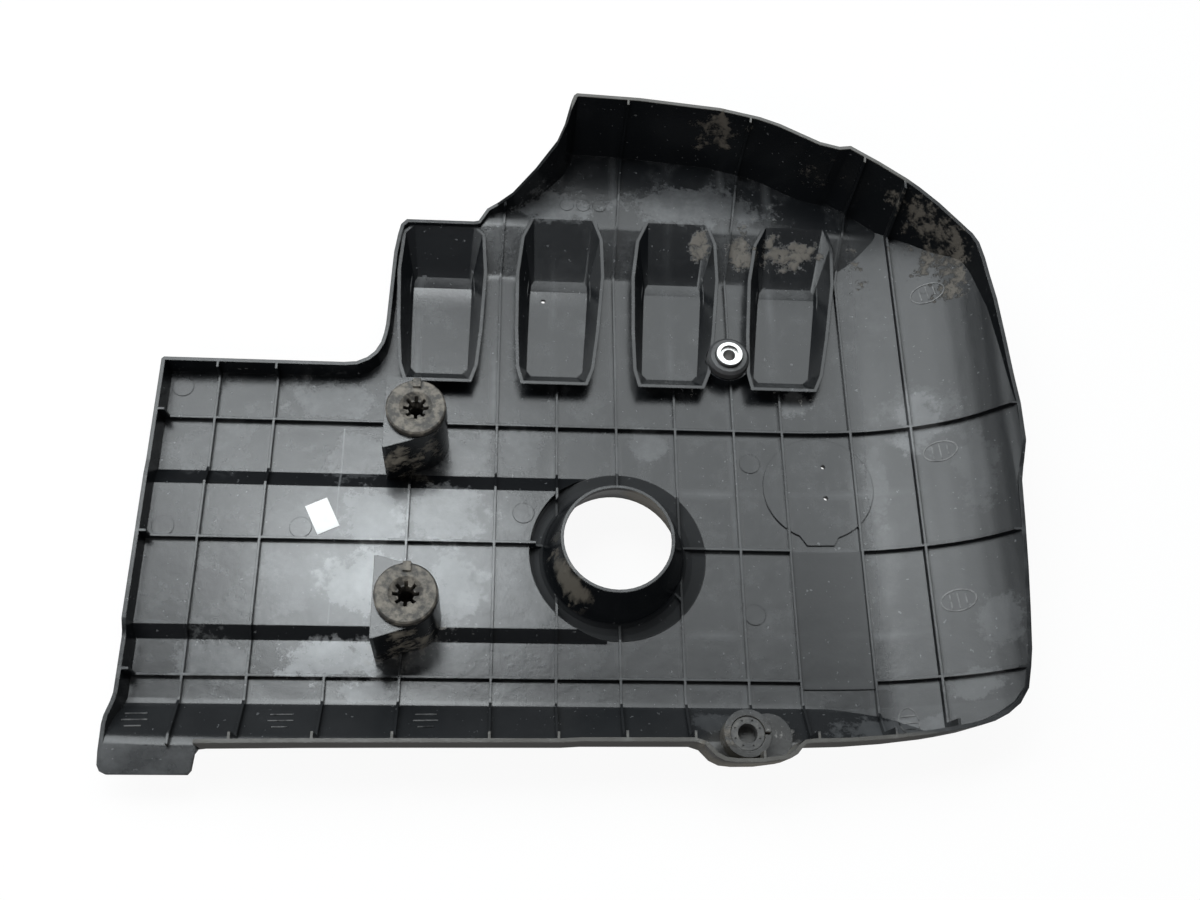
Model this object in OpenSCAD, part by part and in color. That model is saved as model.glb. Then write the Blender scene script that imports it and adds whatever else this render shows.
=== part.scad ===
// Engine cover, one moulding with its rubber and steel fittings.
// It lies on its show face, open engine side up. X runs along the cover,
// Y across it, Z up out of the hollow. Lengths are millimetres.

/* [Cover] */
// length along X at the rim
cover_w = 569; // [480:1:640]
// depth along Y at the rim
cover_d = 465; // [400:1:540]
// wall thickness of the moulding
wall_t = 2.5; // [2:0.1:3.5]
// outward lean of the side walls, mm per mm of height
draft = 0.1; // [0.04:0.01:0.16]
// height of the tall wall above the plate
tall_rim = 70; // [50:1:90]
// height of the front skirt above the plate
skirt_rim = 38; // [28:1:50]
// height of the left and upper left edge above the plate
edge_rim = 15; // [10:1:22]
// rise of the shelf at the foot of the tall wall
shelf_h = 12; // [8:0.5:18]
// rise of the slope before the front skirt
apron_h = 16; // [10:0.5:20]
// rise of the raised band across the left half
band_h = 6; // [3:0.5:9]

/* [Ribs] */
// spacing of the middle ribs
rib_pitch = 40.3; // [36:0.1:44]
// height of the ribs
rib_h = 4; // [2:0.5:6]
// thickness of the ribs
rib_t = 1.6; // [1.2:0.1:2.4]

/* [Pockets] */
// depth of the pocket floors below the plate
pocket_depth = 4; // [2:0.5:8]
// height of the lip around each pocket
lip_h = 12; // [8:0.5:16]
// widest half width of a pocket
pocket_half = 29; // [24:0.5:32]
// diameter of the drain hole in the second pocket
drain_d = 3.2; // [2:0.1:6]

/* [Filler collar] */
// outer radius of the rim
filler_rim_r = 36.5; // [30:0.5:42]
// outer radius where the tube starts
filler_tube_r = 44; // [41:0.5:48]
// radius of the flat foot round the tube
filler_foot_r = 58; // [54:0.5:62]
// height of the rim above the plate
filler_h = 38; // [30:1:50]
// wall of the tube
filler_t = 2.5; // [2:0.1:4]

/* [Socket housings] */
// height of the housings above the plate
boss_h = 50; // [40:1:60]
// radius of the round side
boss_r = 19.5; // [17:0.5:22]
// bore of the housing
boss_bore_r = 14.3; // [12:0.1:15]
// depth of the bore
boss_bore_depth = 26; // [18:1:34]
// thickness of the rubber flange on the housing
socket_flange_t = 5; // [3:0.5:8]
// radius of the hole that grips the ball stud
socket_hole_r = 5; // [4:0.1:6]

/* [Centre bush] */
// radius of the plastic boss
bush_boss_r = 16; // [15:0.5:20]
// height of the plastic boss above the plate
bush_boss_h = 10; // [8:0.5:14]
// outer radius of the rubber collar
bush_collar_r = 14.5; // [13:0.1:14.8]
// height of the rubber collar top above the plate
bush_collar_h = 17; // [15:0.5:20]
// outer radius of the steel sleeve
sleeve_r = 9.3; // [8:0.1:10]
// bore radius of the steel sleeve
sleeve_bore_r = 4.3; // [3:0.1:5]
// height of the sleeve top above the plate
sleeve_h = 20; // [18:0.5:24]

/* [Edge grommet] */
// radius of the plastic ring
ring_r = 14.5; // [13.5:0.1:16]
// height of the ring above the plate
ring_h = 29; // [25:0.5:33]
// outer radius of the rubber grommet
grommet_r = 10.3; // [9:0.1:11]
// bore radius of the rubber grommet
grommet_bore_r = 5.9; // [4:0.1:7]

/* [Badge seat] */
// radius of the plain round seat
seat_r = 37; // [30:0.5:42]
// rise of the seat and of the panel below it
seat_t = 1.2; // [0.6:0.1:2]
// diameter of the two fixing holes
pin_hole_d = 3; // [2:0.1:5]

/* [Label] */
// short side of the label
label_w = 15; // [10:0.5:20]
// long side of the label
label_l = 21.5; // [15:0.5:30]
// thickness of the label
label_t = 0.4; // [0.2:0.1:0.6]

/* [Hidden] */
$fn = 64;
kx = cover_w / 569;
reach = cover_w + cover_d;
ky = cover_d / 465;
clear = 0.3;
function sc(p) = [p[0] * kx, p[1] * ky];

// outline at plate level, anticlockwise
outline = [for (p = [
  [-298, -141], [-252.5, -141], [-250.6, -138.5], [-249.8, -129],
  [-248, -126.3], [-244, -125.8], [-190, -125], [-132, -124.5],
  [-38, -123.9], [-27, -123.2], [38.5, -122.8], [44.5, -124.8],
  [50.3, -131], [56, -133.8], [63.4, -134.6], [77, -134.4],
  [90, -132.7], [94, -131.8], [98, -129.5], [101, -126],
  [104, -123.6], [108, -123], [131.4, -122.2], [156.3, -120.2], [181.5, -117],
  [204, -113], [218, -109.2], [227, -104.7], [235, -98.5], [240.5, -89.5],
  [242.3, -78], [244.3, -66], [246.2, -41], [247.8, -15.5], [249.5, 24],
  [250.2, 41], [252.6, 53], [254.8, 68], [254.8, 93], [253.4, 110],
  [251.6, 138], [249.2, 169.5], [247, 184.5], [244.5, 200.5],
  [241.7, 212], [237.7, 218.8], [229.2, 227.2], [216, 240],
  [203.3, 250.5], [190, 260.2], [177, 269.8], [158, 282.3], [150, 281.2], [137, 284.5],
  [123.4, 291.5], [110, 298.5], [96.3, 303.7], [68.7, 310], [41, 312.7],
  [13.5, 315.4], [-30, 317], [-32, 315], [-38, 297.5], [-43, 291],
  [-57, 276], [-73, 265.5], [-84, 262], [-91, 259], [-97, 250],
  [-100, 249.3], [-147.5, 249], [-151.3, 244.6], [-153, 236],
  [-154.9, 221], [-155.5, 206], [-156.8, 169.6], [-157.1, 162.5],
  [-158, 155.4], [-159.6, 148.3], [-163.2, 141.2], [-168, 136.5],
  [-175, 133], [-183, 132.2], [-300.5, 132.2], [-302, 130.7], [-302, 57],
  [-301.2, 45], [-301.2, -49], [-300.2, -60], [-300.3, -93.5],
  [-301.3, -98.5], [-303.9, -107], [-304.5, -112], [-304.2, -128],
  [-303.5, -135.8], [-301.6, -139.3]]) sc(p)];

// inner face of the moulding seen from the end, y and z
cross_sec = [for (p = [
  [-400, apron_h], [-125, apron_h], [-121.5, apron_h - 0.7],
  [-118.5, apron_h - 2.2], [-99.5, 1.7], [-97, 0.5], [-93.5, 0], [210, 0],
  [213.5, 0.4], [216.5, 1.2], [249.5, shelf_h - 0.8],
  [252.5, shelf_h - 0.2], [256, shelf_h], [600, shelf_h]]) [p[0] * ky, p[1]]];
// inner face seen from the front, x and z, rising to the right
side_sec = smooth([for (p = [
  [105, 0], [120, 0.2], [135, 0.8], [148, 1.8], [161, 3.4], [171, 5.2],
  [180, 7.5], [190, 10.6], [199, 14], [207, 17.1], [214, 20.5],
  [220.5, 23.7], [226, 27], [231.5, 30.6], [236, 34.2], [240.8, 38.2],
  [245, 42.3], [249.3, 46.6], [253.5, 51.3], [257.5, 55], [261.5, 60],
  [264.3, 68], [266, 90], [268, 130]]) [p[0] * kx, p[1]]]);
band_sec = [for (p = [
  [-57, 0], [-49, band_h], [45, band_h], [57, 0]]) [p[0] * ky, p[1]]];
band_end = -8 * kx;

// rim heights
top_cut = [for (p = [
  [-400, edge_rim], [-97, edge_rim], [-84, edge_rim + 5],
  [-73, edge_rim + 13], [-57, tall_rim * 0.6], [-43, tall_rim * 0.74],
  [-38, tall_rim * 0.88], [-34, tall_rim], [185, tall_rim]])
  [p[0] * kx, p[1]]];
right_cut = [for (p = [
  [-400, skirt_rim], [-104, skirt_rim], [-80, 43], [13, 51], [50, 53.5],
  [66, 57], [95, 58], [120, 58.5], [190, 61], [225, 64], [262, tall_rim], [600, tall_rim]])
  [p[0] * ky, p[1]]];
left_cut = [for (p = [
  [-400, edge_rim + 1], [-57, edge_rim + 1], [-49, edge_rim + band_h / 2],
  [45, edge_rim + band_h / 2], [57, edge_rim], [600, edge_rim]])
  [p[0] * ky, p[1]]];

// pockets: middle x, lean per mm of y, y of the upper lip
pockets = [[-121.5, 0, 247.5], [-40.6, 0.045, 257], [40.6, 0.065, 257],
  [121.5, 0.13, 257]];
pocket_y = 165 * ky;
lip_pts = [[21, 257], [27, 241], [29, 210], [27, 165], [24.5, 135],
  [21, 124]];
floor_pts = [[18, 214], [20, 210], [20.5, 200], [20, 165], [19.5, 140],
  [16, 136]];

filler = sc([-3.5, 0.5]);
filler_foot = sc([0, 2.5]);
socket_a = sc([-132, 80]);
socket_b = sc([-132, -43.5]);
bush = sc([78, 145.5]);
ring = sc([73, -119]);
seat = sc([136, 53]);
seat_pins = [sc([141, 69]), sc([141, 46])];
label_at = sc([-191, 24]);
rib_x = [-267, -228.5, -182, -136.5, -2 * rib_pitch, -rib_pitch, 0,
  rib_pitch, 2 * rib_pitch, 114, 161, 200];
rib_y = [94, 7.5, -80];

ring_floor = apron_h + 1.5;
drop = pocket_depth + wall_t;
xs = [for (p = outline) p[0]];
ys = [for (p = outline) p[1]];
mid_x = (min(xs) + max(xs)) / 2;
mid_y = (min(ys) + max(ys)) / 2;
// plan extremes at the height where each is reached
left_x = mid_x + (min(xs) - mid_x) * flare(apron_h);
right_x = mid_x + (max(xs) - mid_x) * flare(57.8);
low_y = mid_y + (min(ys) - mid_y) * flare(apron_h);
high_y = mid_y + (max(ys) - mid_y) * flare(tall_rim);

// curve through the points of p, with one new point in each span
function smooth(p) = let (n = len(p)) concat(
  [for (i = [0:n - 2]) each [p[i], i == 0 || i == n - 2 ? (p[i] + p[i + 1]) / 2 :
    (9 * (p[i] + p[i + 1]) - p[i - 1] - p[i + 2]) / 16]], [p[n - 1]]);
function unit(v) = v / norm(v);
// plan size of the leaning walls at height z, 1 at plate level
function flare(z) = 1 + z * draft / 225;
// polygon moved inward by d, edges kept parallel
function inset(p, d) = let (n = len(p)) [for (i = [0:n - 1])
  let (a = unit(p[i] - p[(i + n - 1) % n]), b = unit(p[(i + 1) % n] - p[i]),
    u = [-a[1], a[0]], v = [-b[1], b[0]])
  p[i] + d * (u + v) / (1 + u * v)];

// solid between two loops of the same count, low loop first
module loft(low, z0, high, z1) {
  n = len(low);
  polyhedron(
    points = concat([for (p = low) [p[0], p[1], z0]],
      [for (p = high) [p[0], p[1], z1]]),
    faces = concat([[for (i = [0:n - 1]) i]],
      [[for (i = [n - 1:-1:0]) n + i]],
      [for (i = [0:n - 1]) [i, n + i, n + (i + 1) % n, (i + 1) % n]]),
    convexity = 8);
}

module below_y(sec, low = -60) {
  polygon(concat([[sec[0][0], low]], sec, [[sec[len(sec) - 1][0], low]]));
}

// extrusion along X of a section drawn in y and z
module along_x(x0, x1) {
  translate([x0, 0, 0]) rotate([90, 0, 90])
    linear_extrude(x1 - x0) children();
}

// extrusion along Y of a section drawn in x and z
module along_y(y0, y1) {
  translate([0, y1, 0]) rotate([90, 0, 0])
    linear_extrude(y1 - y0) children();
}

// section closed below and grown by s
function grown(sec, s) = inset(concat([[sec[0][0], -60]], sec,
  [[sec[len(sec) - 1][0], -60]]), s);

// all that lies d or more inside the outer face
module body(d) {
  s = d - wall_t;
  difference() {
    translate([mid_x, mid_y, -15])
      linear_extrude(110, scale = flare(95) / flare(-15))
        scale(flare(-15))
          translate([-mid_x, -mid_y]) polygon(inset(outline, d));
    along_x(-reach, reach) polygon(grown(cross_sec, s));
    along_y(-reach, reach) polygon(grown(side_sec, s));
    difference() {
      along_x(-reach, band_end + s) polygon(grown(band_sec, s));
      translate([filler_foot[0], filler_foot[1], -80])
        cylinder(h = 120, r = filler_foot_r - s, $fn = 96);
    }
  }
}

module rim_zone() {
  difference() {
    union() {
      along_y(60 * ky, 600) below_y(top_cut);
      translate([-290 * kx, -400, -40]) cube([470 * kx, 400 + 61 * ky, 40 + skirt_rim]);
      along_x(-400, -289 * kx) below_y(left_cut);
      along_x(179 * kx, 400) below_y(right_cut);
    }
    translate([-500, -300, apron_h])
      cube([500 - 248 * kx, 300 - 126 * ky, 100]);
  }
}

module rib(a, b) {
  d = b - a;
  translate([a[0], a[1], -12]) rotate([0, 0, atan2(d[1], d[0])])
    translate([0, -rib_t / 2, 0]) cube([norm(d), rib_t, 100]);
}

module rib_lines() {
  edge = -150;
  for (i = [0, 1]) rib(sc([rib_x[i], edge]), sc([rib_x[i], 150]));
  rib(sc([rib_x[2], edge]), sc([rib_x[2], -80]));
  rib(sc([rib_x[3], edge]), sc([rib_x[3], 60]));
  rib(sc([rib_x[4], edge]), sc([rib_x[4], 215]));
  rib(sc([rib_x[4], 214]), sc([rib_x[4] + 2, 262]));
  rib(sc([rib_x[5], edge]), sc([rib_x[5], 124]));
  rib(sc([rib_x[6], edge]), sc([rib_x[6], 215]));
  rib(sc([rib_x[6], 214]), sc([rib_x[6] + 7, 330]));
  rib(sc([rib_x[7], edge]), sc([rib_x[7], 124]));
  rib(sc([rib_x[8], edge]), sc([rib_x[8], 215]));
  rib(sc([rib_x[8], 214]), sc([rib_x[8] + 15, 325]));
  rib(sc([rib_x[9], edge]), sc([rib_x[9], 126]));
  rib(sc([rib_x[10], edge]), sc([rib_x[10], 215]));
  rib(sc([rib_x[10], 214]), sc([rib_x[10] + 16, 300]));
  rib(sc([rib_x[11], edge]), sc([rib_x[11], 270]));
  rib(sc([-310, rib_y[0]]), sc([280, rib_y[0]]));
  rib(sc([-310, rib_y[1]]), sc([rib_x[9], rib_y[1]]));
  rib(sc([rib_x[10], rib_y[1]]), sc([280, rib_y[1]]));
  rib(sc([-310, rib_y[2]]), sc([rib_x[9], rib_y[2]]));
  rib(sc([rib_x[10], rib_y[2]]), sc([280, rib_y[2]]));
}

// left and right side of a pocket loop; far is the highest y allowed
function side_pts(pts, k, cx, lean, far) = concat(
  [for (p = pts) let (y = min(p[1], far) * ky)
    [cx + lean * (y - pocket_y) - p[0] * k, y]],
  [for (i = [len(pts) - 1:-1:0]) let (p = pts[i], y = min(p[1], far) * ky)
    [cx + lean * (y - pocket_y) + p[0] * k, y]]);

module pocket(p, grow) {
  k = pocket_half / 29;
  hi = side_pts(lip_pts, k, p[0] * kx, p[1], p[2]);
  lo = side_pts(floor_pts, k, p[0] * kx, p[1], p[2]);
  loft(inset(lo, -grow), -pocket_depth - grow, inset(hi, -grow), lip_h);
}

module seat_shape() {
  translate(seat) circle(r = seat_r, $fn = 48);
  translate(seat) polygon([[-16, -seat_r + 5], [-10, -seat_r - 4],
    [8, -seat_r - 4], [13, -seat_r + 5]]);
  translate(sc([114, -85])) square([46.5 * kx, 92 * ky]);
}

module housing(c) {
  translate([c[0], c[1], 0])
    translate([0, 0, -1]) linear_extrude(boss_h + 1)
      hull() {
        circle(r = boss_r, $fn = 64);
        polygon([[-20, -26.5], [-18, -26.5], [-18, 25], [-20, 25]]);
      }
}

module filler_solid() {
  translate([filler_foot[0], filler_foot[1], -1])
    cylinder(h = 1.6, r = filler_foot_r - 0.5, $fn = 96);
  translate([filler[0], filler[1], 0])
    rotate_extrude($fn = 96)
      polygon([[0, -1], [filler_tube_r + 8, -1], [filler_tube_r + 8, 0.6],
        [filler_tube_r + 4, 2], [filler_tube_r + 1.5, 5], [filler_tube_r, 10],
        [filler_rim_r, filler_h - 1.2], [filler_rim_r - 0.6, filler_h],
        [0, filler_h]]);
}

module filler_bore() {
  t = filler_t;
  translate([filler[0], filler[1], 0])
    rotate_extrude($fn = 96)
      polygon([[0, -40], [filler_tube_r + 3, -40], [filler_tube_r + 3, -wall_t],
        [filler_tube_r - t + 0.5, 4], [filler_tube_r - t, 10],
        [filler_rim_r - t, filler_h - 3], [filler_rim_r - t, filler_h + 5],
        [0, filler_h + 5]]);
}

module pin_mark(p, z) {
  translate([p[0] * kx, p[1] * ky, z - 0.5]) cylinder(h = 0.9, r = 7, $fn = 24);
}

module shell_solid() {
  difference() {
    intersection() {
      body(0);
      rim_zone();
    }
    body(wall_t);
  }
  difference() {
    intersection() {
      rib_lines();
      body(wall_t - 0.5);
      rim_zone();
    }
    body(wall_t + rib_h);
  }
  difference() {
    intersection() {
      body(wall_t - 0.5);
      translate([0, 0, -10]) linear_extrude(60) seat_shape();
    }
    body(wall_t + seat_t);
  }
  for (p = pockets) pocket(p, wall_t);
  filler_solid();
  intersection() {
    body(wall_t / 2);
    union() {
      housing(socket_a);
      housing(socket_b);
      translate([bush[0], bush[1], -1])
        cylinder(h = bush_boss_h + 1, r = bush_boss_r);
      translate([ring[0], ring[1], 0]) cylinder(h = ring_h, r = ring_r);
      translate([ring[0] + ring_r, ring[1], 0])
        cylinder(h = apron_h + 3, r = ring_r);
    }
  }
  rib_short();
  for (p = [[-291, 118], [91, 71], [88, -36]]) pin_mark(p, 0);
  for (p = [[-290, 15], [-204, 16], [-62, 29]]) pin_mark(p, band_h);
  for (x = [-34, -22, -10])
    translate([x * kx, 270 * ky, shelf_h - 0.5]) cylinder(h = 0.9, r = 5, $fn = 24);
}

module rib_short() {
  intersection() {
    rib(sc([26, -14]), sc([rib_pitch, -28]));
    translate([-reach, -reach, -1]) cube([2 * reach, 2 * reach, 1 + rib_h]);
  }
}

module cover_shell_body() {
  difference() {
    shell_solid();
    for (p = pockets) pocket(p, 0);
    filler_bore();
    for (c = [socket_a, socket_b])
      translate([c[0], c[1], boss_h - boss_bore_depth])
        cylinder(h = boss_bore_depth + 1, r = boss_bore_r);
    translate([bush[0], bush[1], 0]) cylinder(h = 40, r = bush_collar_r + clear);
    translate([bush[0], bush[1], -20]) cylinder(h = 40, r = sleeve_bore_r + 1);
    translate([ring[0], ring[1], ring_floor]) cylinder(h = 60, r = grommet_r + clear);
    translate([ring[0] + grommet_r, ring[1] - 0.8, ring_h - 5]) cube([6, 1.6, 9]);
    translate([-50 * kx, 197 * ky, -20]) cylinder(h = 30, d = drain_d, $fn = 24);
    for (p = seat_pins)
      translate([p[0], p[1], -20]) cylinder(h = 40, d = pin_hole_d, $fn = 24);
  }
}

module to_origin() {
  translate([-(left_x + right_x) / 2, -(low_y + high_y) / 2, drop]) children();
}

module cover_shell() {
  color([0.13, 0.14, 0.15]) to_origin() cover_shell_body();
}

// rubber ball socket: plug in the housing, flange on top, toothed mouth
module socket_rubber(c) {
  plug_r = boss_bore_r - clear;
  depth = boss_bore_depth - clear;
  to_origin()
    translate([c[0], c[1], boss_h])
      difference() {
        union() {
          rotate_extrude($fn = 64)
            polygon([[0, -depth], [plug_r - 1, -depth], [plug_r, -depth + 1],
              [plug_r, 0], [boss_r - 0.5, 0], [boss_r - 0.5, socket_flange_t - 1],
              [boss_r - 1.5, socket_flange_t], [0, socket_flange_t]]);
          translate([-2.5, boss_r - 6, 0]) cube([5, 6, socket_flange_t + 1.5]);
        }
        translate([0, 0, -depth + 4]) cylinder(h = depth + 20, r = socket_hole_r);
        translate([0, 0, socket_flange_t - 3])
          cylinder(h = 3.01, r1 = socket_hole_r + 1, r2 = socket_hole_r + 5.5);
        for (i = [0:7]) rotate([0, 0, i * 45])
          translate([0, -1.1, -6]) cube([socket_hole_r + 3, 2.2, 30]);
      }
}

module socket_rubber_a() {
  color([0.16, 0.15, 0.14]) socket_rubber(socket_a);
}

module socket_rubber_b() {
  color([0.16, 0.15, 0.14]) socket_rubber(socket_b);
}

module bush_collar() {
  color([0.08, 0.08, 0.085]) to_origin()
    translate([bush[0], bush[1], 0])
      rotate_extrude($fn = 64)
        polygon([[sleeve_r - 1.5, 0], [bush_collar_r, 0],
          [bush_collar_r, bush_collar_h - 2], [bush_collar_r - 2, bush_collar_h],
          [sleeve_r + clear, bush_collar_h], [sleeve_r + clear, 4],
          [sleeve_r - 1.5, 4]]);
}

module bush_sleeve() {
  color([0.75, 0.76, 0.77]) to_origin()
    translate([bush[0], bush[1], 0])
      rotate_extrude($fn = 64)
        polygon([[sleeve_bore_r, 4], [sleeve_r, 4], [sleeve_r, sleeve_h - 0.5],
          [sleeve_r - 0.5, sleeve_h], [sleeve_bore_r + 2.2, sleeve_h],
          [sleeve_bore_r + 1.6, sleeve_h - 2.5], [sleeve_bore_r, sleeve_h - 2.5]]);
}

module edge_grommet() {
  color([0.2, 0.2, 0.2]) to_origin()
    translate([ring[0], ring[1], ring_floor])
      difference() {
        cylinder(h = ring_h - ring_floor - 1, r = grommet_r);
        translate([0, 0, 1.5]) cylinder(h = 60, r = grommet_bore_r);
        for (i = [0:7]) rotate([0, 0, i * 45 + 22.5])
          translate([(grommet_r + grommet_bore_r) / 2, 0, ring_h - ring_floor - 1.6])
            cylinder(h = 3, r = 0.6, $fn = 16);
      }
}

module paper_label() {
  color([0.93, 0.93, 0.91]) to_origin()
    translate([label_at[0], label_at[1], band_h])
      rotate([0, 0, 26])
        translate([-label_w / 2, -label_l / 2, 0]) cube([label_w, label_l, label_t]);
}

cover_shell();
socket_rubber_a();
socket_rubber_b();
bush_collar();
bush_sleeve();
edge_grommet();
paper_label();
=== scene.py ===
"""Used engine cover lying on its show face, engine side up.

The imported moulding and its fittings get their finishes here, and the
low moulding marks are laid on the apron and the curved end.
"""
import math

import bmesh
import bpy
from mathutils import Matrix, Vector


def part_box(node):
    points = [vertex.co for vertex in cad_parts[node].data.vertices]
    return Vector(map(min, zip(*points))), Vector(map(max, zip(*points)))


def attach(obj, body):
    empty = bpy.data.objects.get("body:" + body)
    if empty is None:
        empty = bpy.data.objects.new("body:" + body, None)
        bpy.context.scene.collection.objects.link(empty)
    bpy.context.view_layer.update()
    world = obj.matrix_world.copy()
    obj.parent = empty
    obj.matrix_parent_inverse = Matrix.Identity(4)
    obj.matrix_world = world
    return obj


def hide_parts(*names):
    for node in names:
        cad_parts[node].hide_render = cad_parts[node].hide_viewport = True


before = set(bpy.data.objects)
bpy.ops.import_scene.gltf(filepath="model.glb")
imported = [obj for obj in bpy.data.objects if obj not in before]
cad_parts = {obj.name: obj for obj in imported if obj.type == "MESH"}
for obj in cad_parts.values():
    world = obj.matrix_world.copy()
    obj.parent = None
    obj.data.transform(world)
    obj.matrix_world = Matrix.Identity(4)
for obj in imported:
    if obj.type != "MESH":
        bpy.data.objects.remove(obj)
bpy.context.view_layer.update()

bl_info = {
    "name": "Engine cover",
    "version": (1, 0, 0),
    "blender": (4, 5, 0),
    "location": "View3D > Sidebar > Engine cover",
    "description": "Finishes, moulding marks and stage for a used engine cover",
    "category": "Object",
}

MM = 0.001
# how far the part's own drawing is moved, in mm; its plate is at level 0
SHIFT = Vector((22.252, -90.748, 6.5))
# levels of the top of the tall wall and of the front skirt, in metres
TALL_RIM = 0.0765
FRONT_RIM = 0.0445

WHITE = (1.0, 1.0, 1.0, 1.0)
# linear colours of wear and dirt that aren't among the settings
WORN_RIM = (0.16, 0.15, 0.13)
FRESH_CHIP = (0.42, 0.41, 0.39)
RUBBED_MARK = (0.11, 0.11, 0.11)
SOCKET_DUST = (0.20, 0.182, 0.155)
COLLAR_DUST = (0.035, 0.035, 0.036)
GROMMET_DUST = (0.11, 0.108, 0.102)
STEEL_STAIN = (0.30, 0.28, 0.25)
PAPER_GRIME = (0.52, 0.50, 0.46)
# radians of the sine per metre, for rings about 0.5 mm apart
LATHE_RATE = 12000.0
LAMP_COOL = (0.93, 0.98, 1.0)
LAMP_WARM = (1.0, 0.99, 0.96)


def at(x, y, z=0.0):
    """Point of the part's drawing, in mm from the plate, as metres here."""
    return (Vector((x, y, z)) + SHIFT) * MM


# sizes


class CoverFinish(bpy.types.PropertyGroup):
    plastic: bpy.props.FloatVectorProperty(
        name="Plastic", description="Clean moulded plastic", subtype="COLOR",
        size=3, min=0, max=1, default=(0.0045, 0.0053, 0.0064))
    # pale film on the plate; the same colour also paints sheen where the flat plate
    # mirrors the lamps
    haze_and_sheen: bpy.props.FloatVectorProperty(
        name="Haze", description="Dried film on the plate", subtype="COLOR",
        size=3, min=0, max=1, default=(0.29, 0.30, 0.31))
    dust: bpy.props.FloatVectorProperty(
        name="Dust", description="Road dust on the fixings and the skirt",
        subtype="COLOR", size=3, min=0, max=1, default=(0.24, 0.22, 0.185))
    skirt: bpy.props.FloatVectorProperty(
        name="Skirt", description="Grime on the outside of the front edge",
        subtype="COLOR", size=3, min=0, max=1, default=(0.036, 0.033, 0.029))
    mud: bpy.props.FloatVectorProperty(
        name="Mud", description="Dried mud splashes", subtype="COLOR",
        size=3, min=0, max=1, default=(0.15, 0.135, 0.115))
    gloss: bpy.props.FloatProperty(
        name="Roughness", description="Roughness of the clean plastic",
        min=0.1, max=0.8, default=0.245)
    crease: bpy.props.FloatProperty(
        name="Crease", description="Angle from which an edge of the moulding "
        "stays sharp", subtype="ANGLE", default=math.radians(16))
    rounding: bpy.props.FloatProperty(
        name="Rounding", description="Radius at which sharp edges catch light",
        unit="LENGTH", default=0.0007)
    grain: bpy.props.FloatProperty(
        name="Grain", description="Width of one grain of the spark-eroded skin",
        unit="LENGTH", default=0.0011)


class FittingFinish(bpy.types.PropertyGroup):
    socket_rubber: bpy.props.FloatVectorProperty(
        name="Socket rubber", description="Dusty rubber of the ball sockets",
        subtype="COLOR", size=3, min=0, max=1, default=(0.034, 0.032, 0.029))
    collar_rubber: bpy.props.FloatVectorProperty(
        name="Collar rubber", description="Black rubber of the centre bush",
        subtype="COLOR", size=3, min=0, max=1, default=(0.045, 0.046, 0.048))
    grommet_rubber: bpy.props.FloatVectorProperty(
        name="Grommet rubber", description="Grey rubber at the front edge",
        subtype="COLOR", size=3, min=0, max=1, default=(0.045, 0.045, 0.045))
    steel: bpy.props.FloatVectorProperty(
        name="Steel", description="Turned steel sleeve", subtype="COLOR",
        size=3, min=0, max=1, default=(0.62, 0.62, 0.61))
    paper: bpy.props.FloatVectorProperty(
        name="Paper", description="Stuck-on blank label", subtype="COLOR",
        size=3, min=0, max=1, default=(0.75, 0.76, 0.76))


class MouldMarks(bpy.types.PropertyGroup):
    width: bpy.props.FloatProperty(
        name="Width", description="Width of one bar", unit="LENGTH",
        default=0.0009)
    rise: bpy.props.FloatProperty(
        name="Rise", description="How far one bar stands above and below the skin",
        unit="LENGTH", default=0.0004)
    pitch: bpy.props.FloatProperty(
        name="Pitch", description="Spacing of the three bars", unit="LENGTH",
        default=0.0044)
    ring_steps: bpy.props.IntProperty(
        name="Ring steps", description="Bars in one oval ring", default=26)


class Studio(bpy.types.PropertyGroup):
    key_power: bpy.props.FloatProperty(
        name="Key power", description="Power of the box above the right half",
        unit="POWER", default=20.0)
    left_power: bpy.props.FloatProperty(
        name="Left power", description="Power of the larger box on the left",
        unit="POWER", default=49.0)
    spot_power: bpy.props.FloatProperty(
        name="Spot power", description="Power of the small lamp that shines on "
        "the left plate", unit="POWER", default=8.0)
    fill_power: bpy.props.FloatProperty(
        name="Fill power", description="Power of the box above the front edge, "
        "which lights the dust and isn't mirrored", unit="POWER", default=22.0)
    sky: bpy.props.FloatProperty(
        name="Sky", description="Strength of the even light of the room",
        min=0, max=2, default=0.10)
    lens: bpy.props.FloatProperty(
        name="Lens", description="Focal length on a 36 mm wide sensor",
        unit="CAMERA", default=38.97)
    eye: bpy.props.FloatVectorProperty(
        name="Eye", description="Where the camera stands", subtype="XYZ",
        unit="LENGTH", size=3, default=(-0.058925, -0.386709, 0.796966))


# shader maths


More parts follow.
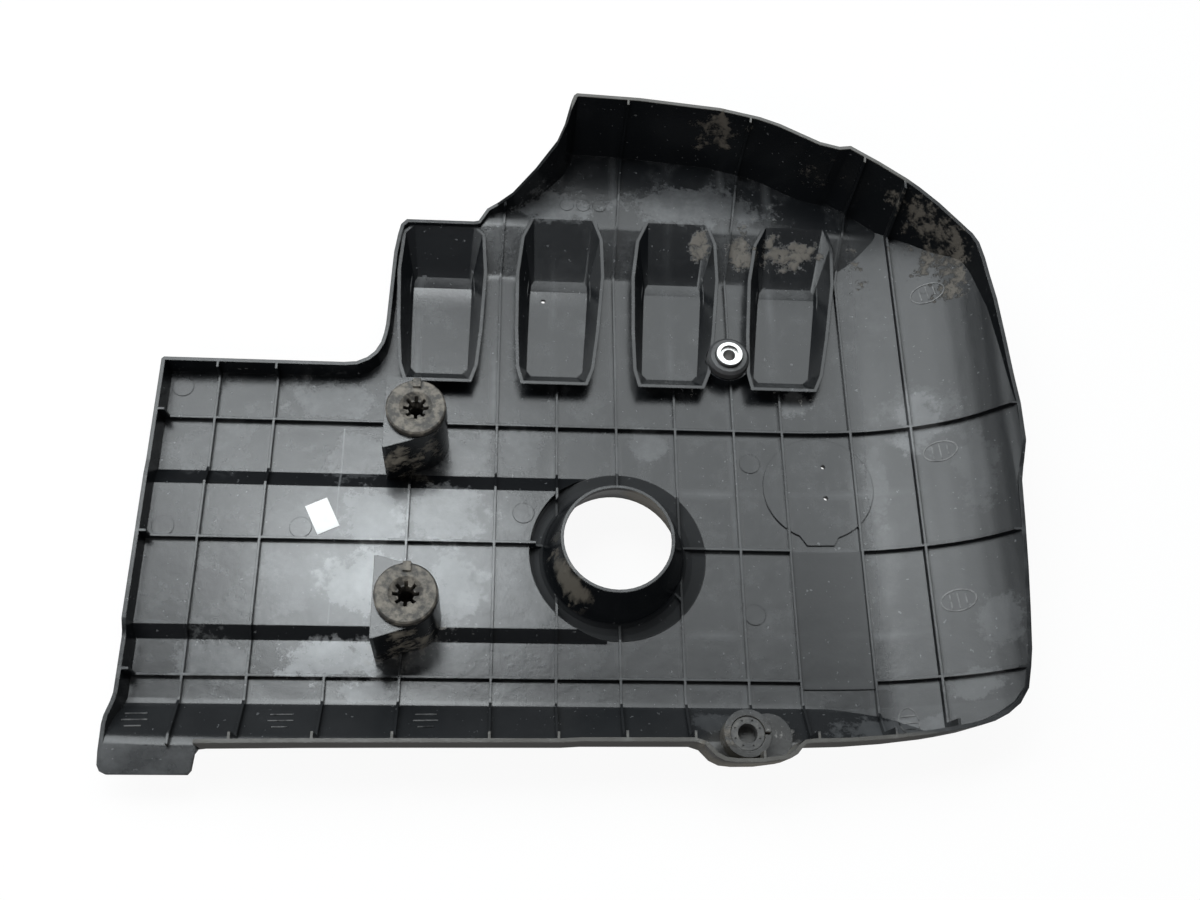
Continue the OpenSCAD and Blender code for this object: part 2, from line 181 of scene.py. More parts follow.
class Value:
    """A number on a node's socket. Arithmetic on it adds Math nodes."""

    def __init__(self, graph, socket):
        self.graph = graph
        self.socket = socket

    def math(self, operation, *operands):
        node = self.graph.add("ShaderNodeMath", {"operation": operation},
                              dict(enumerate(operands)))
        return Value(self.graph, node.outputs[0])

    def __add__(self, other):
        return self.math("ADD", self, other)

    def __radd__(self, other):
        return self.math("ADD", other, self)

    def __sub__(self, other):
        return self.math("SUBTRACT", self, other)

    def __rsub__(self, other):
        return self.math("SUBTRACT", other, self)

    def __mul__(self, other):
        return self.math("MULTIPLY", self, other)

    def __rmul__(self, other):
        return self.math("MULTIPLY", other, self)

    def __truediv__(self, other):
        return self.math("DIVIDE", self, other)

    def __rtruediv__(self, other):
        return self.math("DIVIDE", other, self)

    def top(self, other):
        """The larger of the two."""
        return self.math("MAXIMUM", self, other)

    def size(self):
        """The value without its sign."""
        return self.math("ABSOLUTE", self)

    def wave(self, rate):
        """Sine of the value times rate, moved to the range 0 to 1."""
        return self.math("SINE", self * rate) * 0.5 + 0.5

    def ramp(self, low, high):
        """0 below low, 1 above high, smooth between."""
        node = self.graph.add(
            "ShaderNodeMapRange", {"interpolation_type": "SMOOTHSTEP"},
            {"Value": self, "From Min": low, "From Max": high})
        return Value(self.graph, node.outputs["Result"])


class Graph:
    """The node tree of a finish or the world, with Object coordinates in metres."""

    def __init__(self, name, owner=None):
        self.owner = owner or bpy.data.materials.new(name)
        self.owner.use_nodes = True
        self.tree = self.owner.node_tree
        self.tree.nodes.clear()
        coordinates = self.add("ShaderNodeTexCoord")
        self.place = coordinates.outputs["Object"]
        parts = self.add("ShaderNodeSeparateXYZ", {}, {0: self.place})
        self.x, self.y, self.z = (Value(self, o) for o in parts.outputs)
        tilt = self.add("ShaderNodeSeparateXYZ", {},
                        {0: coordinates.outputs["Normal"]})
        _, self.ny, self.nz = (Value(self, o) for o in tilt.outputs)

    def add(self, kind, settings=None, sockets=None):
        """A node with its settings made first and its sockets filled after."""
        node = self.tree.nodes.new(kind)
        for key, setting in (settings or {}).items():
            setattr(node, key, setting)
        for key, content in (sockets or {}).items():
            socket = node.inputs[key]
            if isinstance(content, Value):
                content = content.socket
            if isinstance(content, bpy.types.NodeSocket):
                self.tree.links.new(content, socket)
            else:
                socket.default_value = content
        return node

    def noise(self, width, detail, rough, stretch=(1, 1, 1), seed=0.0):
        """Cloudy pattern from 0 to 1; width is its coarsest feature."""
        mapping = self.add("ShaderNodeMapping", {"vector_type": "POINT"}, {
            "Vector": self.place, "Scale": stretch,
            "Location": (seed, seed * 0.7, -seed)})
        node = self.add("ShaderNodeTexNoise", {}, {
            "Vector": mapping.outputs[0], "Scale": 1 / width,
            "Detail": detail, "Roughness": rough})
        return Value(self, node.outputs["Fac"])

    def distance(self, centre, operation, scale):
        """Length of the way from centre, once its axes are scaled."""
        away = self.add("ShaderNodeVectorMath", {"operation": "SUBTRACT"},
                        {0: self.place, 1: centre})
        scaled = self.add("ShaderNodeVectorMath", {"operation": operation},
                          {0: away.outputs[0], 1: scale})
        length = self.add("ShaderNodeVectorMath", {"operation": "LENGTH"},
                          {0: scaled.outputs[0]})
        return Value(self, length.outputs["Value"])

    def spot(self, centre, reach):
        """1 at centre, 0 from reach outwards; both in mm of the drawing."""
        radius = tuple(r * MM for r in reach)
        return (1.0 - self.distance(at(*centre), "DIVIDE", radius)).top(0.0)

    def blend(self, factor, low, high):
        """Colour from low to high by factor."""
        node = self.add("ShaderNodeMix", {"data_type": "RGBA"}, {
            0: factor, 6: rgba(low), 7: rgba(high)})
        return node.outputs[2]

    def bump(self, height, strength, depth, below=None):
        """Normal of a relief that is depth metres high, over the normal below."""
        sockets = {"Height": height, "Strength": strength, "Distance": depth}
        if below is not None:
            sockets["Normal"] = below
        return self.add("ShaderNodeBump", {}, sockets).outputs["Normal"]

    def rounded(self, radius):
        """Normal that turns smoothly over sharp edges."""
        bevel = self.add("ShaderNodeBevel", {"samples": 2}, {"Radius": radius})
        return bevel.outputs[0]

    def finish(self, **sockets):
        """Ends the tree in one Principled shader and returns its material."""
        named = {key.replace("_", " "): content for key, content in sockets.items()}
        shader = self.add("ShaderNodeBsdfPrincipled", {}, named)
        self.add("ShaderNodeOutputMaterial", {}, {"Surface": shader.outputs[0]})
        return self.owner


def rgba(tint):
    """A colour with its alpha, or a link as it is."""
    if isinstance(tint, bpy.types.NodeSocket):
        return tint
    return (*tint, 1.0)


# finishes


# places of the straight plate ribs in mm of the drawing
RIBS_X = (-266, -228, -137, -83, -43, 0, 40, 80, 114, 160)
RIBS_Y = (-82, 7, 92, 48, -50)
# dried film and painted sheen: pale patches, some painted where the plate and the
# shelf mirror the lamps; centre and half widths in mm of the drawing, and how thick
# it lies
HAZE_AND_SHEEN = (
    ((-112, 26, 4), (40, 30, 20), 0.75),
    ((-160, 24, 4), (30, 30, 20), 0.60),
    ((-160, -22, 4), (48, 34, 20), 1.00),
    ((-106, -22, 4), (30, 34, 20), 0.65),
    ((-182, -69, 4), (48, 22, 20), 1.20),
    ((-158, -89, 4), (26, 10, 20), 0.75),
    ((-172, 72, 4), (30, 30, 20), 0.32),
    ((-192, 110, 4), (46, 24, 20), 0.30),
    ((-110, -68, 4), (44, 16, 20), 0.28),
    ((-100, 74, 4), (36, 26, 20), 0.25),
    ((-206, -20, 4), (34, 30, 20), 0.20),
    ((-262, 74, 4), (44, 30, 20), 0.12),
    ((-250, -70, 4), (44, 24, 20), 0.35),
    ((-66, 74, 4), (30, 24, 20), 0.14),
    ((22, 84, 4), (26, 16, 20), 0.28),
    ((126, 118, 4), (18, 18, 20), 0.50),
    ((-46, 268, 12), (44, 22, 30), 0.45),
    ((60, 274, 12), (90, 24, 30), 0.35),
    ((205, 104, 24), (40, 40, 40), 0.20),
    ((236, 60, 34), (20, 50, 40), 0.16),
    ((206, 98, 20), (26, 34, 30), 0.40),
    ((236, -50, 34), (18, 26, 30), 0.25),
    ((176, 60, 6), (12, 44, 20), 0.16),
    ((214, -86, 24), (34, 14, 24), 0.35),
    ((170, -112, 12), (60, 14, 24), 0.35),
    ((60, -108, 10), (30, 10, 24), 0.20),
)
# mud: centre and half widths in mm of the drawing, and how full it is
MUD = (
    ((226, 212, 48), (38, 62, 42), 0.75),
    ((74, 308, 52), (30, 18, 28), 0.8),
    ((128, 240, 6), (36, 22, 20), 0.78),
    ((62, 238, 8), (12, 22, 16), 0.65),
    ((92, 236, 8), (14, 30, 16), 0.65),
    ((176, 214, 14), (16, 40, 20), 0.55),
    ((132, 270, 40), (50, 26, 44), 0.5),
    ((205, 240, 50), (38, 34, 38), 0.7),
    ((58, -124, 30), (26, 16, 24), 0.6),
)
# scratched places: centre and half widths in mm of the drawing
CHIPS = (
    ((126, 122, 0), (22, 14, 14)),
    ((-104, -50, 6), (16, 22, 10)),
    ((46, 128, 0), (18, 10, 12)),
    ((86, -112, 18), (30, 18, 20)),
)
# single places: centre and half widths in mm of the drawing
# painted sheen: a broad pale spot over the left plate, where it mirrors the lamps
BAND_GLOW = ((-140, -8, 0), (120, 85, 50))
HOUSING_A = ((-135, 62, 18), (32, 30, 45))
HOUSING_B = ((-135, -62, 18), (32, 30, 45))
GROMMET_RING = ((76, -124, 22), (52, 32, 30))
GROMMET_HOLE = ((73, -119, 16), (6.8, 6.8, 30))
TUBE_FOOT = ((0, 2.5, 0), (58, 58, 1000))
TUBE_SIDE = ((-30, -22, 25), (36, 42, 30))
TUBE_FLANK = ((-36, -20, 20), (20, 32, 34))
TUBE_BORE = ((24, 26, 20), (30, 30, 30))
# rectangles: low and high corner in mm of the drawing
PANEL = ((114, -85), (160.5, 7))
FAINT_LINE = ((-182.6, -48), (-181.4, 90))
# where a pocket's floor meets its slope and how far the bend reaches, in mm
POCKET_FOLD = 205
FOLD_REACH = 17
# levels between which the pockets' sunk floors end, in metres
SUNK = (0.0058, 0.0064)
# Z of the normal between which a face starts to lie flat or to be a wall
LYING = (0.90, 0.985)
STANDING = (0.2, 0.6)


def splash(g, ragged, centre, reach, cover):
    """Ragged patch: the noise cut off where the spot fades."""
    near = g.spot(centre, reach)
    return (ragged + near * cover - 0.30).ramp(0.0, 0.24) * near.ramp(0.0, 0.1)


def beyond(value, low, high):
    """0 above high, 1 below low, smooth between."""
    return (0.0 - value).ramp(-high, -low)


def box_mask(g, low, high):
    """1 inside a rectangle of the plan, 0 outside."""
    low, high = at(*low), at(*high)
    soft = 0.0005
    inside = g.x.ramp(low.x - soft, low.x + soft)
    inside = inside * beyond(g.x, high.x - soft, high.x + soft)
    inside = inside * g.y.ramp(low.y - soft, low.y + soft)
    return inside * beyond(g.y, high.y - soft, high.y + soft)


def beside_ribs(g):
    """1 in the corner at the foot of a plate rib, 0 from 5 mm away."""
    near = g.x * 0.0
    for along, shift, places in ((g.x, SHIFT.x, RIBS_X), (g.y, SHIFT.y, RIBS_Y)):
        for place in places:
            away = along - (place + shift) * MM
            near = near.top(1.0 - away.size() / (5 * MM))
    return near


def pocket_fillets(g, below):
    """Bends the light where a pocket's floor runs into its upper slope."""
    away = (g.y - (POCKET_FOLD + SHIFT.y) * MM).size()
    nearer = (1.0 - away / (FOLD_REACH * MM)).top(0.0)
    sunk = 1.0 - g.z.ramp(*SUNK)
    return g.bump(nearer * nearer * sunk, 1.0, 0.0012, below)


def dried_film_and_sheen(g, coarse, cloud, ragged, foot, panel):
    """How thick the pale film and the painted sheen lie: in ragged patches and
    along the ribs.
    """
    # painted sheen: the broad glow and the patches go only on faces that lie flat,
    # where the plate mirrors the lamps
    up = g.nz.ramp(*LYING)
    glow = g.spot(*BAND_GLOW).ramp(0.0, 0.85)
    thin = (cloud - 0.48).top(0.0) * 0.35
    film_and_sheen = (thin + glow * (coarse * 0.5 + cloud * 0.5 - 0.15)) * up
    for centre, reach, thick in HAZE_AND_SHEEN:
        patch = splash(g, ragged, centre, reach, 1.1)
        film_and_sheen = film_and_sheen + patch * (cloud * 1.4 + 0.15) * thick * 0.42
    film_and_sheen = film_and_sheen.top(beside_ribs(g) * coarse.ramp(0.35, 0.75) * 0.16 * up)
    film_and_sheen = film_and_sheen.top(box_mask(g, *FAINT_LINE) * 0.3)
    film_and_sheen = film_and_sheen * (1.0 - foot * 0.9) * (1.0 - panel * 0.8)
    apron = beyond(g.y, -0.1885, -0.1865) * (coarse * 0.5 + cloud * 0.6)
    return (film_and_sheen + apron * 0.06) * g.nz.ramp(-0.2, 0.1)


def road_dust(g, cloud, speck, streak, side):
    """Brown dust low on the fixings, on the tube and in the bores."""
    housings = g.spot(*HOUSING_A).top(g.spot(*HOUSING_B))
    dust = (housings * 0.8 + cloud * 3.0 + speck * 0.8 - 2.3).ramp(0.0, 0.5)
    dust = dust * housings.ramp(0.0, 0.15) * (side * 0.7 + 0.3)
    ring = g.spot(*GROMMET_RING) * 1.2
    ring = (ring + cloud - 0.75).ramp(0.0, 0.5) * (side * 0.4 + 0.1)
    tube = g.spot(*TUBE_SIDE)
    dust = dust.top(ring).top((tube + streak - 0.98).ramp(0.0, 0.2) * 0.5)
    bore = g.spot(*TUBE_BORE).ramp(0.0, 0.3)
    dust = dust.top(bore * beyond(g.ny, -0.5, -0.1) * (0.4 + cloud * 0.5))
    return dust.top(g.spot(*GROMMET_HOLE).ramp(0.0, 0.1) * 0.6)


def dried_mud(g, ragged, speck, streak, side):
    """Splashes on the walls and in the pockets, and runs down the tube."""
    mud = 0.0
    for centre, reach, cover in MUD:
        mud = splash(g, ragged, centre, reach, cover).top(mud)
    mud = mud * speck.ramp(0.34, 0.50)
    runs = (ragged * 0.5 + streak * 3.0 - 1.55).ramp(0.0, 0.25)
    flank = g.spot(*TUBE_FLANK).ramp(0.0, 0.4)
    return mud.top(runs * flank * side)


def cover_plastic(look):
    """Black moulding with the film, dust, mud and wear of its years in use, and
    painted sheen on its flat faces.
    """
    g = Graph("cover plastic")
    coarse = g.noise(0.070, 6, 0.6)
    cloud = g.noise(0.022, 8, 0.68, seed=3.0)
    speck = g.noise(0.0045, 5, 0.7, seed=7.0)
    streak = g.noise(0.014, 6, 0.7, stretch=(1, 1, 0.22), seed=5.0)
    scratch = g.noise(0.012, 3, 0.8, stretch=(1, 0.05, 1), seed=11.0)
    dots = g.noise(0.0030, 2, 0.5, seed=13.0)
    ragged = cloud * 2.0 + speck * 0.8 - 1.4
    side = 1.0 - g.nz.ramp(*STANDING)

    # the foot round the filler tube and the plain panel get less of the pale film
    # and painted sheen, so they stay darker
    foot = g.spot(*TUBE_FOOT).ramp(0.0, 0.02)
    foot = foot * beyond(g.z, 0.0095, 0.0125)
    panel = box_mask(g, *PANEL) * g.nz.ramp(*LYING)
    film_and_sheen = dried_film_and_sheen(g, coarse, cloud, ragged, foot, panel)
    wipes = (streak - 0.60).ramp(0.0, 0.10) * film_and_sheen
    dust = road_dust(g, cloud, speck, streak, side)
    mud = dried_mud(g, ragged, speck, streak, side)
    skirt = beyond(g.ny, -0.9, -0.5) * beyond(g.y, -0.212, -0.205)
    chips = 0.0
    for centre, reach in CHIPS:
        near = g.spot(centre, reach).ramp(0.0, 0.6)
        chips = near * (scratch + speck).ramp(1.14, 1.22) + chips
    rims = g.z.ramp(TALL_RIM - 0.0008, TALL_RIM - 0.0001)
    front = g.z.ramp(FRONT_RIM - 0.0008, FRONT_RIM - 0.0002)
    rims = rims.top(front * beyond(g.y, -0.213, -0.209))

    tint = look.plastic
    # the haze colour lays both the pale film and the painted sheen
    for amount, colour in (
            (film_and_sheen, look.haze_and_sheen), (wipes * 0.35, look.haze_and_sheen),
            ((dots - 0.70).ramp(0.0, 0.05) * 0.22, look.haze_and_sheen),
            (rims * 0.30, WORN_RIM), (skirt * 0.75, look.skirt),
            (dust * 0.85, look.dust), (mud * (0.25 + cloud * 0.6), look.mud),
            (chips * 0.45, FRESH_CHIP)):
        tint = g.blend(amount, tint, colour)

    rough = look.gloss + (coarse - 0.5) * 0.12 + film_and_sheen * 0.06
    curved_end = g.x.ramp(0.185, 0.215)
    rough = rough + foot * 0.55 + panel * 0.12 + curved_end * 0.13
    rough = rough + dust * 0.35 + mud * 0.4 + skirt * 0.3
    grain = g.noise(look.grain, 2, 0.5)
    normal = pocket_fillets(g, g.rounded(look.rounding))
    normal = g.bump(grain, 0.10, 0.0002, normal)
    normal = g.bump(coarse + cloud * 0.25, 0.5, 0.0010, normal)
    normal = g.bump(mud * speck, 0.8, 0.0006, normal)
    return g.finish(Base_Color=tint, Roughness=rough, Normal=normal)


def rubbed_plastic(look):
    """Plastic of the small raised marks, rubbed pale in patches."""
    g = Graph("rubbed plastic")
    wear = g.noise(0.005, 5, 0.7, seed=8.0)
    colour = g.blend(wear.ramp(0.30, 0.62), look.plastic, RUBBED_MARK)
    return g.finish(Base_Color=colour, Roughness=0.42)


def dusty_rubber(name, tint, pale, roughness):
    """Rubber with blotches of pale powder, more of it on what faces up."""
    g = Graph(name)
    cloud = g.noise(0.006, 6, 0.65, seed=2.0)
    fine = g.noise(0.0009, 3, 0.6, seed=9.0)
    lit = g.nz.ramp(0.4, 1.0)
    blot = g.noise(0.0028, 4, 0.6, seed=5.0)
    powder = (cloud * 1.5 + blot * 0.6 + lit * 0.15 - 0.6).ramp(0.38, 0.85)
    colour = g.blend(powder * 0.85, tint, pale)
    worn = roughness + powder * 0.16
    skin = g.bump(fine + cloud * 2.0, 0.35, 0.0003, g.rounded(0.0008))
    return g.finish(Base_Color=colour, Roughness=worn, Normal=skin)


def turned_steel(look, centre):
    """Bright steel with the fine rings that a lathe leaves."""
    g = Graph("turned steel")
    rings = g.distance(centre, "MULTIPLY", (1, 1, 0)).wave(LATHE_RATE)
    stain = g.noise(0.004, 5, 0.6, seed=4.0)
    colour = g.blend(stain.ramp(0.5, 0.8) * 0.5, look.steel, STEEL_STAIN)
    rough = 0.24 + stain * 0.2
    return g.finish(Base_Color=colour, Metallic=1.0, Roughness=rough,
                    Normal=g.bump(rings, 0.15, 0.0001))


def label_paper(look):
    """Matt paper, a little grubby and creased, with nothing printed on it."""
    g = Graph("label paper")
    fibres = g.noise(0.0012, 4, 0.7, stretch=(1, 0.4, 1))
    grime = g.noise(0.009, 5, 0.6, seed=6.0)
    colour = g.blend(grime.ramp(0.48, 0.85) * 0.5, look.paper, PAPER_GRIME)
    return g.finish(Base_Color=colour, Roughness=0.72 + fibres * 0.1,
                    Normal=g.bump(fibres + grime * 2.0, 0.3, 0.0002))


def dress(node, material):
    """Gives a CAD node one finish, on the slots it already has."""
    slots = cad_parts[node].material_slots
    if not slots:
        raise RuntimeError(f"{node} has no material slot")
    for slot in slots:
        slot.material = material


# operators

# corners of the CAD mesh nearer than this, in metres, are one corner
WELD = 1e-5
# highest weight of the modifier: large faces outweigh small ones
LARGE_FACES = 100


def smooth_copy(node, name, angle):
    """The same form as a closed mesh, with soft light over its shallow edges."""
    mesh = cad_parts[node].data.copy()
    mesh.name = name
    work = bmesh.new()
    work.from_mesh(mesh)
    bmesh.ops.remove_doubles(work, verts=work.verts, dist=WELD)
    work.to_mesh(mesh)
    work.free()
    mesh.materials.clear()
    # the stored normals fit the flat faces, and would show as triangles
    mesh.attributes.remove(mesh.attributes["custom_normal"])
    mesh.shade_smooth()
    mesh.set_sharp_from_angle(angle=angle)
    piece = bpy.data.objects.new(name, mesh)
    bpy.context.collection.objects.link(piece)
    weights = piece.modifiers.new("even shading", "WEIGHTED_NORMAL")
    weights.keep_sharp = True
    weights.weight = LARGE_FACES
    return piece


class COVER_OT_shell(bpy.types.Operator):
    """Finish the moulding in worn plastic"""

    bl_idname = "engine_cover.shell"
    bl_label = "Moulding"

    def execute(self, context):
        look = context.scene.cover_finish
        piece = smooth_copy("cover_shell", "moulding", look.crease)
        piece.data.materials.append(cover_plastic(look))
        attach(piece, "root")
        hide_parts("cover_shell")
        return {"FINISHED"}


class COVER_OT_rubbers(bpy.types.Operator):
    """Finish the ball sockets, the collar and the edge grommet in rubber"""

    bl_idname = "engine_cover.rubbers"
    bl_label = "Rubber fittings"

    def execute(self, context):
        look = context.scene.fitting_finish
        socket = dusty_rubber(
            "socket rubber", look.socket_rubber, SOCKET_DUST, 0.60)
        dress("socket_rubber_a", socket)
        dress("socket_rubber_b", socket)
        dress("bush_collar", dusty_rubber(
            "collar rubber", look.collar_rubber, COLLAR_DUST, 0.34))
        dress("edge_grommet", dusty_rubber(
            "grommet rubber", look.grommet_rubber, GROMMET_DUST, 0.45))
        return {"FINISHED"}


class COVER_OT_sleeve(bpy.types.Operator):
    """Finish the centre sleeve in turned steel"""

    bl_idname = "engine_cover.sleeve"
    bl_label = "Steel sleeve"

    def execute(self, context):
        low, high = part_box("bush_sleeve")
        centre = (Vector(low) + Vector(high)) / 2
        dress("bush_sleeve", turned_steel(context.scene.fitting_finish, centre))
        return {"FINISHED"}


class COVER_OT_label(bpy.types.Operator):
    """Finish the blank stuck-on label in paper"""

    bl_idname = "engine_cover.label"
    bl_label = "Blank label"

    def execute(self, context):
        dress("paper_label", label_paper(context.scene.fitting_finish))
        return {"FINISHED"}


# moulding marks: middle of the plan in mm, heading of the bars in degrees, and
# half sizes of the oval ring round them or None
MARKS = (
    ((-290, -109), 2, None),
    ((-205, -109), 2, None),
    ((-119, -108), 2, None),
    ((179, -107), 2, (9.5, 6.0)),
    ((222, 197), 100, (10.5, 7.5)),
    ((217, 74), 96, (10.0, 7.0)),
    ((216, -31), 96, (10.0, 7.0)),
)
BAR_LENGTHS = (13.0, 15.0, 9.5)
# length of the bars inside a ring, as a part of the free ones
RINGED = 0.72
# how much longer than its side a bar of the ring is, so that corners close
LAP = 1.08
# level from which the marks are dropped on the moulding, in mm
DROP_FROM = 60


def bars(sizes):
    """Middle, heading and length of each bar, in mm of the plan."""
    pitch = sizes.pitch / MM
    for (x, y), heading, ring in MARKS:
        turn = math.radians(heading)
        along = Vector((math.cos(turn), math.sin(turn)))
        across = Vector((-along.y, along.x))
        middle = Vector((x, y))
        for step, length in zip((1, 0, -1), BAR_LENGTHS):
            yield (middle + across * step * pitch, turn,
                   length if ring is None else length * RINGED)
        if ring is None:
            continue
        count = sizes.ring_steps
        for step in range(count):
            a, b = (2 * math.pi * (step + k) / count for k in (0, 1))
            start, end = (across * math.cos(t) * ring[0]
                          + along * math.sin(t) * ring[1] for t in (a, b))
            edge = end - start
            yield (middle + (start + end) / 2, math.atan2(edge.y, edge.x),
                   edge.length * LAP)


def drop_on_shell(spot):
    """Where a plumb line meets the inner face of the moulding, and its normal."""
    shell = bpy.data.objects["moulding"]
    start = at(spot.x, spot.y, DROP_FROM)
    hit, place, normal, _ = shell.ray_cast(start, Vector((0, 0, -1)))
    if not hit:
        raise RuntimeError(f"no skin under the mark at {tuple(spot)}")
    return place, normal


def mark_tree(material):
    """One bar on each seat, turned and stretched by the seat's attributes."""
    tree = bpy.data.node_groups.new("moulding marks", "GeometryNodeTree")
    face = tree.interface
    face.new_socket("Geometry", in_out="INPUT", socket_type="NodeSocketGeometry")
    for name in ("Width", "Rise"):
        face.new_socket(name, in_out="INPUT", socket_type="NodeSocketFloat")
    face.new_socket("Geometry", in_out="OUTPUT", socket_type="NodeSocketGeometry")

    def add(kind, links=None, **settings):
        node = tree.nodes.new(kind)
        for key, setting in settings.items():
            setattr(node, key, setting)
        for key, content in (links or {}).items():
            if isinstance(content, bpy.types.NodeSocket):
                tree.links.new(content, node.inputs[key])
            else:
                node.inputs[key].default_value = content
        return node

    given = add("NodeGroupInput").outputs
    size = add("ShaderNodeCombineXYZ", {
        "X": 1.0, "Y": given["Width"], "Z": given["Rise"]})
    bar = add("GeometryNodeMeshCube", {"Size": size.outputs[0]})
    turn = add("GeometryNodeInputNamedAttribute", {"Name": "turn"},
               data_type="FLOAT_VECTOR")
    stretch = add("GeometryNodeInputNamedAttribute", {"Name": "stretch"},
                  data_type="FLOAT_VECTOR")
    seats = add("GeometryNodeMeshToPoints", {"Mesh": given["Geometry"]})
    laid = add("GeometryNodeInstanceOnPoints", {
        "Points": seats.outputs[0], "Instance": bar.outputs["Mesh"],
        "Rotation": turn.outputs["Attribute"],
        "Scale": stretch.outputs["Attribute"]})
    real = add("GeometryNodeRealizeInstances", {"Geometry": laid.outputs[0]})
    painted = add("GeometryNodeSetMaterial", {
        "Geometry": real.outputs[0], "Material": material})
    add("NodeGroupOutput", {"Geometry": painted.outputs[0]})
    return tree


class COVER_OT_marks(bpy.types.Operator):
    """Lay the three-bar moulding marks on the apron and the curved end"""

    bl_idname = "engine_cover.marks"
    bl_label = "Moulding marks"

    def execute(self, context):
        sizes = context.scene.mould_marks
        places, turns, scales = [], [], []
        context.view_layer.update()
        for spot, heading, length in bars(sizes):
            place, up = drop_on_shell(spot)
            along = Vector((math.cos(heading), math.sin(heading), 0))
            along = (along - up * along.dot(up)).normalized()
            pose = Matrix((along, up.cross(along), up)).transposed()
            places.append(place)
            turns.extend(pose.to_euler())
            scales.extend((length * MM, 1.0, 1.0))
        seats = bpy.data.meshes.new("mark seats")
        seats.from_pydata(places, [], [])
        for name, content in (("turn", turns), ("stretch", scales)):
            layer = seats.attributes.new(name, "FLOAT_VECTOR", "POINT")
            layer.data.foreach_set("vector", content)
        holder = bpy.data.objects.new("mark seats", seats)
        context.collection.objects.link(holder)
        material = rubbed_plastic(context.scene.cover_finish)
        modifier = holder.modifiers.new("marks", "NODES")
        modifier.node_group = mark_tree(material)
        wanted = {"Width": sizes.width, "Rise": 2 * sizes.rise}
        for socket in modifier.node_group.interface.items_tree:
            if socket.in_out == "INPUT" and socket.name in wanted:
                modifier[socket.identifier] = wanted[socket.name]
        evaluated = holder.evaluated_get(context.evaluated_depsgraph_get())
        mesh = bpy.data.meshes.new_from_object(evaluated)
        holder.modifiers.remove(modifier)
        bpy.data.objects.remove(holder)
        piece = bpy.data.objects.new("moulding_marks", mesh)
        context.collection.objects.link(piece)
        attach(piece, "root")
        return {"FINISHED"}


MIDDLE = (0.0, 0.0, 0.0)
# name, setting of the power, place, target, size, and whether the plastic
# mirrors it; all in metres
LAMPS = (
    ("key box", "key_power", (0.42, 1.10, 1.90), MIDDLE, (1.3, 1.6), True),
    ("left box", "left_power", (-1.30, 1.06, 1.84), MIDDLE, (2.2, 1.45), True),
    ("spot box", "spot_power", (-0.30, 0.46, 1.55), (-0.14, -0.11, 0.0),
     (0.5, 0.45), True),
    ("front box", "fill_power", (-0.45, -1.75, 1.15), MIDDLE, (2.2, 1.2), False),
)
# half the side of the floor, in metres
FLOOR_HALF = 3.0
# the floor lies this far under the part, so that no two faces share a place
FLOOR_Z = -0.0006
FLOOR_PAINT = (0.8, 0.8, 0.8, 1.0)
# share of the white that covers the lit paint, which keeps a faint shadow
FLOOR_WHITE = 0.93
# strength of the white as the glossy plastic mirrors it
MIRRORED_WHITE = 0.25
# width of the sensor, in mm
SENSOR = 36.0
# axes of the camera, as worked out from the rib grid
CAMERA_RIGHT = Vector((0.99647, -0.01151, 0.08321))
CAMERA_BACK = Vector((-0.08014, -0.42705, 0.90067))


class COVER_OT_stage(bpy.types.Operator):
    """Lay the pale floor, hang the lamps and stand the camera"""

    bl_idname = "engine_cover.stage"
    bl_label = "Studio"

    def execute(self, context):
        studio = context.scene.studio
        white_floor()
        sky(studio.sky)
        for name, power, place, target, size, mirrored in LAMPS:
            lamp(name, getattr(studio, power), place, target, size, mirrored)
        camera(context.scene, studio)
        context.scene.view_settings.view_transform = "Standard"
        return {"FINISHED"}


def white_floor():
    """Floor that shows white to the camera and takes a faint shadow."""
    mesh = bpy.data.meshes.new("studio_floor")
    corners = ((-1, -1), (1, -1), (1, 1), (-1, 1))
    mesh.from_pydata([(x * FLOOR_HALF, y * FLOOR_HALF, 0) for x, y in corners],
                     [], [(0, 1, 2, 3)])
    floor = bpy.data.objects.new("studio_floor", mesh)
    bpy.context.collection.objects.link(floor)
    g = Graph("studio floor")
    rays = g.add("ShaderNodeLightPath").outputs
    mirrored = Value(g, rays["Is Glossy Ray"])
    seen = Value(g, rays["Is Camera Ray"])
    seen = seen.top(Value(g, rays["Is Transmission Ray"]))
    paint = g.add("ShaderNodeBsdfDiffuse", {}, {"Color": FLOOR_PAINT})
    dim, white = (g.add("ShaderNodeEmission", {}, {
        "Color": WHITE, "Strength": level}) for level in (MIRRORED_WHITE, 1.0))
    lit = g.add("ShaderNodeMixShader", {}, {
        0: mirrored * FLOOR_WHITE, 1: paint.outputs[0], 2: dim.outputs[0]})
    shown = g.add("ShaderNodeMixShader", {}, {
        0: seen * FLOOR_WHITE, 1: lit.outputs[0], 2: white.outputs[0]})
    g.add("ShaderNodeOutputMaterial", {}, {"Surface": shown.outputs[0]})
    mesh.materials.append(g.owner)
    floor.location.z = FLOOR_Z


def sky(strength):
    """Room that shows white to the camera and lights the part evenly."""
    world = bpy.data.worlds.new("studio room")
    bpy.context.scene.world = world
    g = Graph("studio room", world)
    rays = g.add("ShaderNodeLightPath").outputs
    even, white = (g.add("ShaderNodeBackground", {}, {
        "Color": WHITE, "Strength": level}) for level in (strength, 1.0))
    shown = g.add("ShaderNodeMixShader", {}, {
        0: rays["Is Camera Ray"], 1: even.outputs[0], 2: white.outputs[0]})
    g.add("ShaderNodeOutputWorld", {}, {"Surface": shown.outputs[0]})


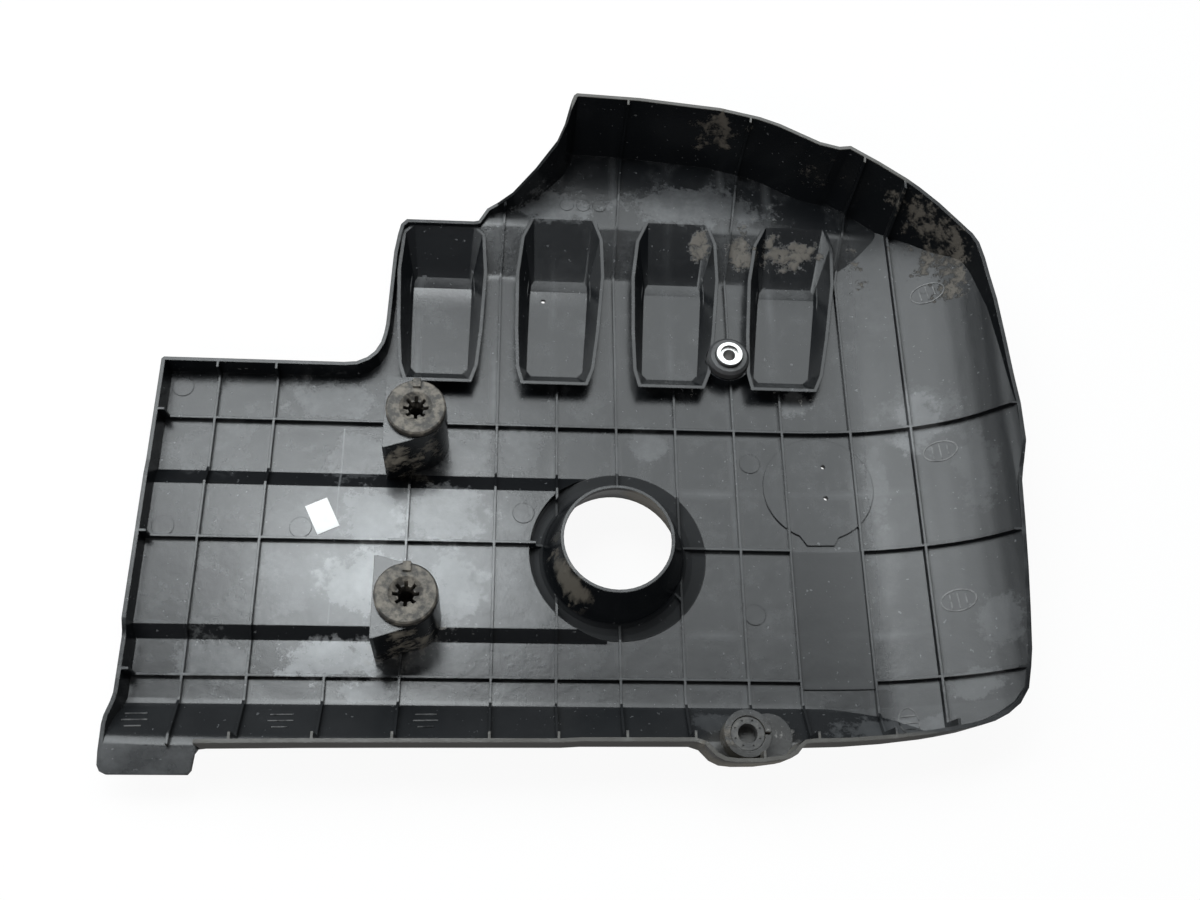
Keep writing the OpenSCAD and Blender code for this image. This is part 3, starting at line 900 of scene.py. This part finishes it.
def lamp(name, power, place, target, size, mirrored):
    """Softbox aimed at its target; one that isn't mirrored only adds soft light."""
    light = bpy.data.lights.new(name, "AREA")
    light.shape = "RECTANGLE"
    light.size, light.size_y = size
    light.energy = power
    light.color = LAMP_COOL if mirrored else LAMP_WARM
    box = bpy.data.objects.new(name, light)
    box.location = place
    aim = Vector(target) - Vector(place)
    box.rotation_euler = aim.to_track_quat("-Z", "Y").to_euler()
    box.visible_glossy = mirrored
    bpy.context.collection.objects.link(box)


def camera(scene, studio):
    """Camera at the angle of the photograph, with its axes made square."""
    lens = bpy.data.cameras.new("camera")
    lens.lens = studio.lens
    lens.sensor_width = SENSOR
    eye = bpy.data.objects.new("camera", lens)
    back = CAMERA_BACK.normalized()
    up = back.cross(CAMERA_RIGHT).normalized()
    right = up.cross(back)
    turn = Matrix((right, up, back)).transposed().to_4x4()
    eye.matrix_world = Matrix.Translation(studio.eye) @ turn
    scene.collection.objects.link(eye)
    scene.camera = eye


class COVER_PT_panel(bpy.types.Panel):
    bl_idname = "COVER_PT_panel"
    bl_label = "Engine cover"
    bl_space_type = "VIEW_3D"
    bl_region_type = "UI"
    bl_category = "Engine cover"

    def draw(self, context):
        for group in ("cover_finish", "fitting_finish", "mould_marks", "studio"):
            box = self.layout.box()
            settings = getattr(context.scene, group)
            for key in settings.bl_rna.properties.keys():
                if key not in ("rna_type", "name"):
                    box.prop(settings, key)
        for step in STEPS:
            self.layout.operator(step.bl_idname)


STEPS = (COVER_OT_shell, COVER_OT_marks, COVER_OT_rubbers, COVER_OT_sleeve,
         COVER_OT_label, COVER_OT_stage)
GROUPS = {"cover_finish": CoverFinish, "fitting_finish": FittingFinish,
          "mould_marks": MouldMarks, "studio": Studio}
CLASSES = (*GROUPS.values(), *STEPS, COVER_PT_panel)


def register():
    for item in CLASSES:
        bpy.utils.register_class(item)
    for name, group in GROUPS.items():
        setattr(bpy.types.Scene, name, bpy.props.PointerProperty(type=group))


def unregister():
    for name in GROUPS:
        delattr(bpy.types.Scene, name)
    for item in reversed(CLASSES):
        bpy.utils.unregister_class(item)


def main():
    register()
    bpy.ops.engine_cover.stage()
    bpy.ops.engine_cover.shell()
    bpy.ops.engine_cover.marks()
    bpy.ops.engine_cover.rubbers()
    bpy.ops.engine_cover.sleeve()
    bpy.ops.engine_cover.label()


if __name__ == "__main__":
    main()
